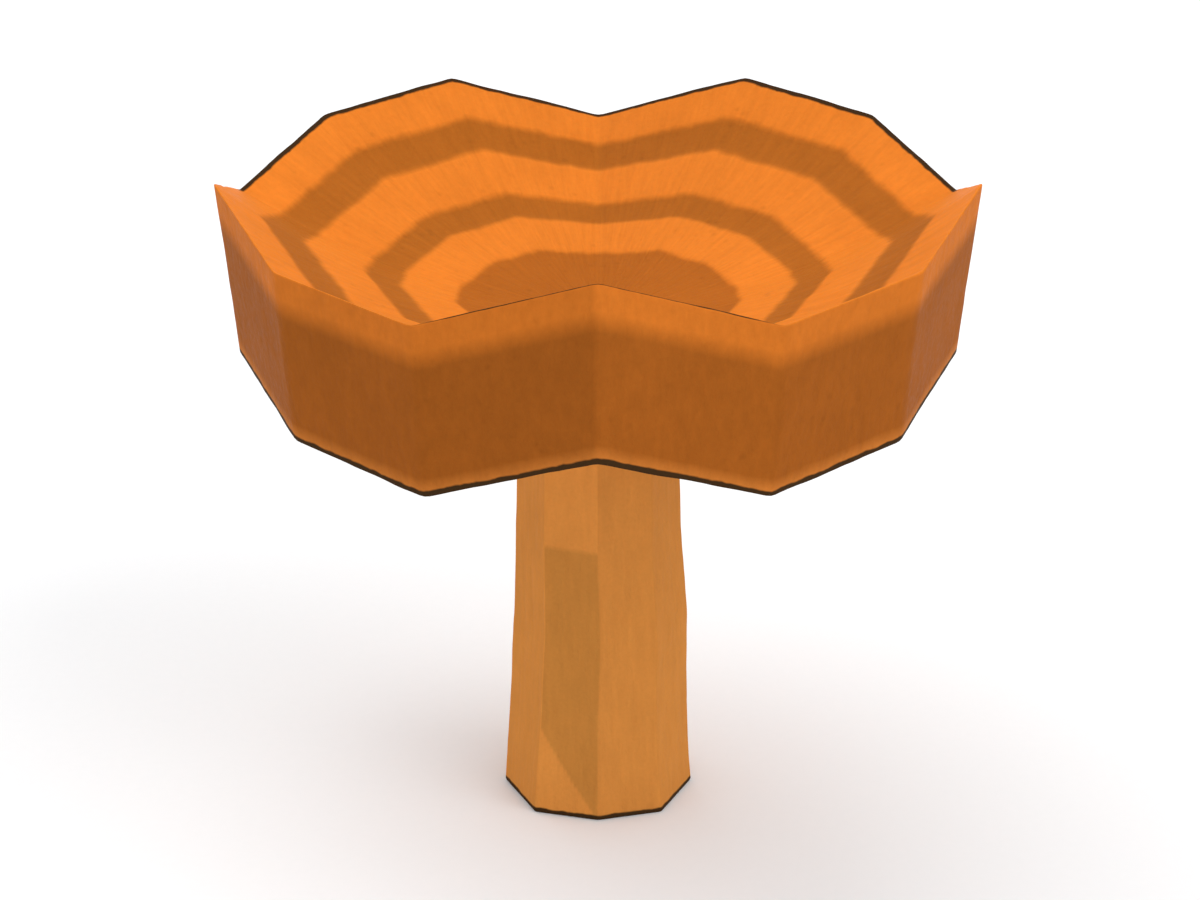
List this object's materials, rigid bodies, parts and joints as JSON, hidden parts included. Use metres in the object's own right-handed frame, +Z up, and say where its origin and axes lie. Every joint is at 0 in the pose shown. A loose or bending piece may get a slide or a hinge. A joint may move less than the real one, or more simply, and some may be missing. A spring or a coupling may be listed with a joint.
{
  "type": "saffron milk cap mushroom",
  "caption": "Whole saffron milk cap: a wavy, funnel-shaped orange cap with darker rings and a deep margin, on a stout faceted stem cut flat at the foot.",
  "frame": {"origin": "middle of the flat cut at the foot of the stem, on the stem's axis", "axes": "+Z up the stem to the cap; -Y is the front, where one lobe of the wavy margin rises highest; +X is to the right seen from the front"},
  "size_m": [0.0878, 0.09, 0.0847],
  "materials": {
    "mushroom_flesh": null
  },
  "bodies": {
    "root": {"fruiting_body": "mushroom_flesh"}
  },
  "joints": []
}
